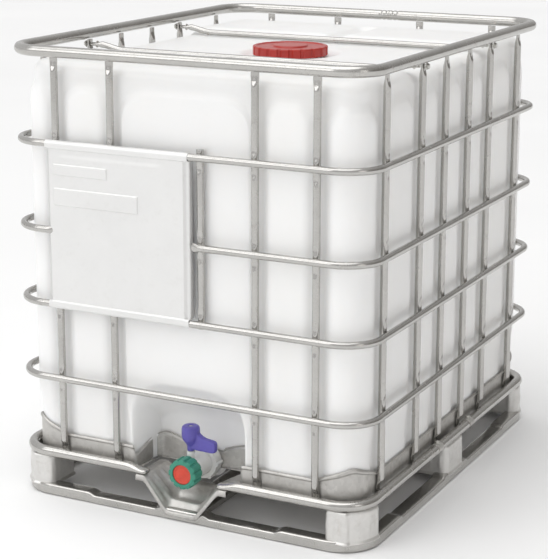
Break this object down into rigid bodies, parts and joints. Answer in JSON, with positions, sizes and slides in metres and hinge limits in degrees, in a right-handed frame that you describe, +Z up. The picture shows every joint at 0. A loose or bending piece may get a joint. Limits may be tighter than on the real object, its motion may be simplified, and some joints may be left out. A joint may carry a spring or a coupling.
{
  "type": "intermediate bulk container",
  "caption": "Caged bulk liquid container: translucent moulded bottle in a welded tube cage on a steel fork pallet, with a screw filling cap and a low outlet valve.",
  "frame": {"origin": "on the floor, under the middle of the container's outline", "axes": "+Z up, -Y towards the side with the outlet valve, +X to the right as seen from that side, Y along the longer side of the pallet"},
  "size_m": [1, 1.2, 1.16],
  "materials": {
    "galvanised_tube": "galvanised, bright",
    "galvanised_sheet": "galvanised sheet, spangled",
    "zinc_fastener": "zinc plated",
    "bottle_hdpe": "translucent natural polyethylene",
    "cap_red": "moulded, satin",
    "valve_plastic": "moulded, natural white",
    "lever_blue": "moulded, blue violet",
    "ring_green": "moulded, sea green",
    "disc_red": "moulded, satin",
    "seal_rubber": "matte black",
    "stem_plastic": "glass filled"
  },
  "bodies": {
    "container": {"back_foot": "galvanised_sheet", "back_upright_1": "galvanised_tube", "back_upright_2": "galvanised_tube", "back_upright_3": "galvanised_tube", "back_upright_4": "galvanised_tube", "base_runner": "galvanised_tube", "bottle": "bottle_hdpe", "cage_clamp_bolts": "zinc_fastener", "cage_clamps": "galvanised_sheet", "cage_hoop_1": "galvanised_tube", "cage_hoop_2": "galvanised_tube", "cage_hoop_3": "galvanised_tube", "cage_hoop_4": "galvanised_tube", "centre_foot": "galvanised_sheet", "centre_skid": "galvanised_tube", "corner_foot_back_left": "galvanised_sheet", "corner_foot_back_right": "galvanised_sheet", "corner_foot_front_left": "galvanised_sheet", "corner_foot_front_right": "galvanised_sheet", "cross_bar_back": "galvanised_tube", "cross_bar_bolts": "zinc_fastener", "cross_bar_front": "galvanised_tube", "floor_tray": "galvanised_sheet", "front_upright_1": "galvanised_tube", "front_upright_2": "galvanised_tube", "front_upright_3": "galvanised_tube", "front_upright_4": "galvanised_tube", "left_upright_1": "galvanised_tube", "left_upright_2": "galvanised_tube", "left_upright_3": "galvanised_tube", "left_upright_4": "galvanised_tube", "left_upright_5": "galvanised_tube", "left_upright_6": "galvanised_tube", "marking_plate": "galvanised_sheet", "pallet_top_frame": "galvanised_tube", "plate_upright": "galvanised_tube", "rail_joint_insert": "galvanised_tube", "right_upright_1": "galvanised_tube", "right_upright_2": "galvanised_tube", "right_upright_3": "galvanised_tube", "right_upright_4": "galvanised_tube", "right_upright_5": "galvanised_tube", "right_upright_6": "galvanised_tube", "side_foot_left": "galvanised_sheet", "side_foot_right": "galvanised_sheet", "top_rail": "galvanised_tube", "valve_body": "valve_plastic", "valve_foot": "galvanised_sheet", "valve_gasket": "seal_rubber", "valve_union_nut": "valve_plastic"},
    "filler_seat": {"cap_gasket": "seal_rubber"},
    "filling_cap": {"filling_cap": "cap_red"},
    "valve_spindle": {"butterfly_disc": "stem_plastic", "valve_stem": "stem_plastic", "valve_lever": "lever_blue", "lever_screw": "zinc_fastener"},
    "outlet_closure": {"outlet_cap_disc": "disc_red", "outlet_cap_seal": "seal_rubber"},
    "outlet_ring": {"outlet_cap_ring": "ring_green"}
  },
  "joints": [
    {"name": "filling_cap_lift", "type": "slide", "parent": "container", "child": "filler_seat", "axis": [0, 0, 1], "range_m": [0, 0.0105]},
    {"name": "filling_cap_turn", "type": "hinge", "parent": "filler_seat", "child": "filling_cap", "pos_m": [0, 0, 1.11], "axis": [0, 0, 1], "range_deg": [0, 540]},
    {"name": "valve_lever_turn", "type": "hinge", "parent": "container", "child": "valve_spindle", "pos_m": [0, -0.542, 0.2], "axis": [0, 0, 1], "range_deg": [-90, 0]},
    {"name": "outlet_cap_travel", "type": "slide", "parent": "container", "child": "outlet_closure", "axis": [0, -1, 0], "range_m": [0, 0.012]},
    {"name": "outlet_ring_turn", "type": "hinge", "parent": "outlet_closure", "child": "outlet_ring", "pos_m": [0, -0.573, 0.122], "axis": [0, -1, 0], "range_deg": [0, 720]}
  ],
  "couplings": [
    {"joint": "filling_cap_lift", "follows": "filling_cap_turn", "m_per_rad": 0.0011141},
    {"joint": "outlet_cap_travel", "follows": "outlet_ring_turn", "m_per_rad": 0.00095493}
  ]
}
